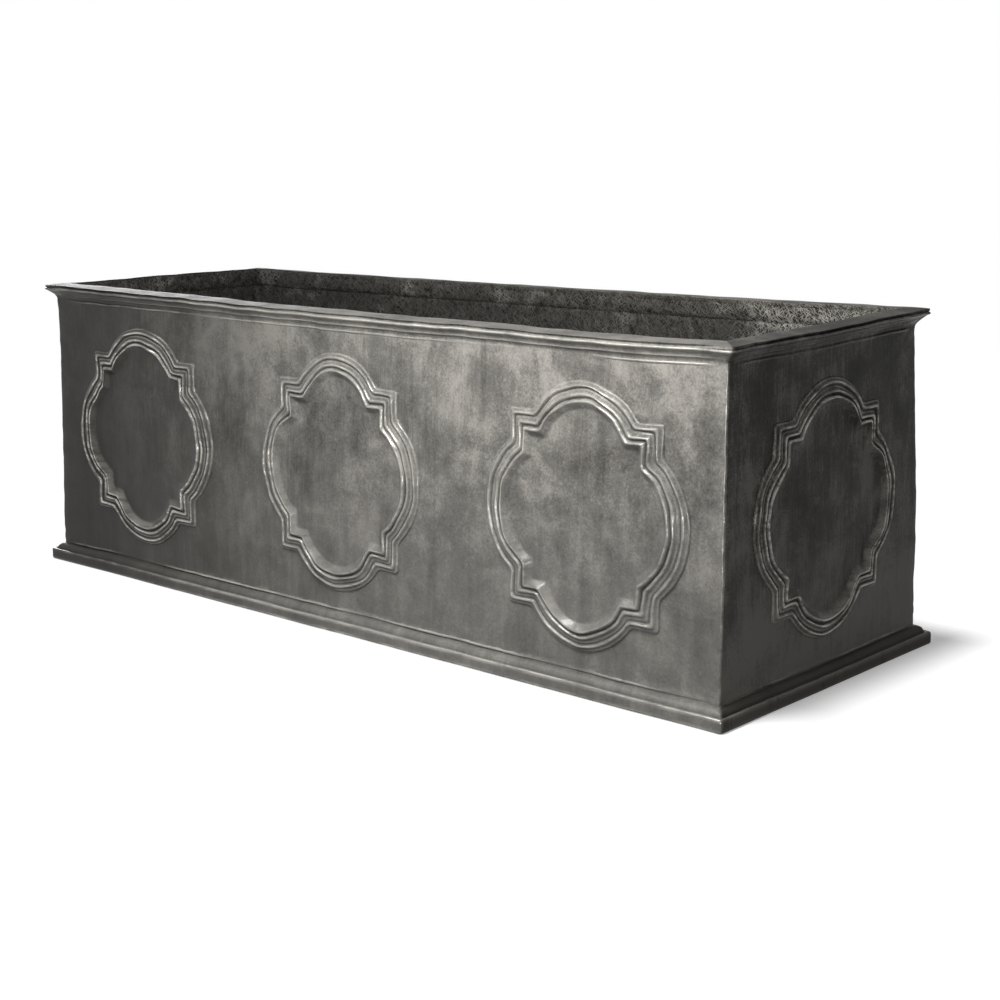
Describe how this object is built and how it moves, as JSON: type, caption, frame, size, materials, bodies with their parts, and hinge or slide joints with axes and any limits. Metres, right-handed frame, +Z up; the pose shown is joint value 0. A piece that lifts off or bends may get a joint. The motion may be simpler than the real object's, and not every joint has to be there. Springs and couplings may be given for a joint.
{
  "type": "trough planter",
  "caption": "Long open-topped trough planter with a lead-look face: battered walls between a moulded rim and a plinth, each side bearing raised barbed quatrefoil frames.",
  "frame": {"origin": "on the ground under the middle of the trough", "axes": "+X along the trough's length, -Y out of its front, +Z up"},
  "size_m": [1.067, 0.381, 0.356],
  "materials": {
    "lead_face": "metal-loaded gelcoat, brushed and burnished to look like aged lead",
    "laminate": "raw chopped-strand glass-fibre laminate, rough, dark pigmented",
    "timber": "sawn softwood"
  },
  "bodies": {
    "root": {"front_panel": "lead_face", "right_end_panel": "lead_face", "back_panel": "lead_face", "left_end_panel": "lead_face", "rim_stiffener_front": "laminate", "rim_stiffener_right": "laminate", "rim_stiffener_back": "laminate", "rim_stiffener_left": "laminate", "floor_bond_front": "laminate", "floor_bond_right": "laminate", "floor_bond_back": "laminate", "floor_bond_left": "laminate", "corner_bond_front_left": "laminate", "corner_bond_front_right": "laminate", "corner_bond_back_left": "laminate", "corner_bond_back_right": "laminate", "floor_panel": "laminate", "floor_bearer_1": "timber", "floor_bearer_2": "timber", "floor_bearer_3": "timber"}
  },
  "joints": []
}
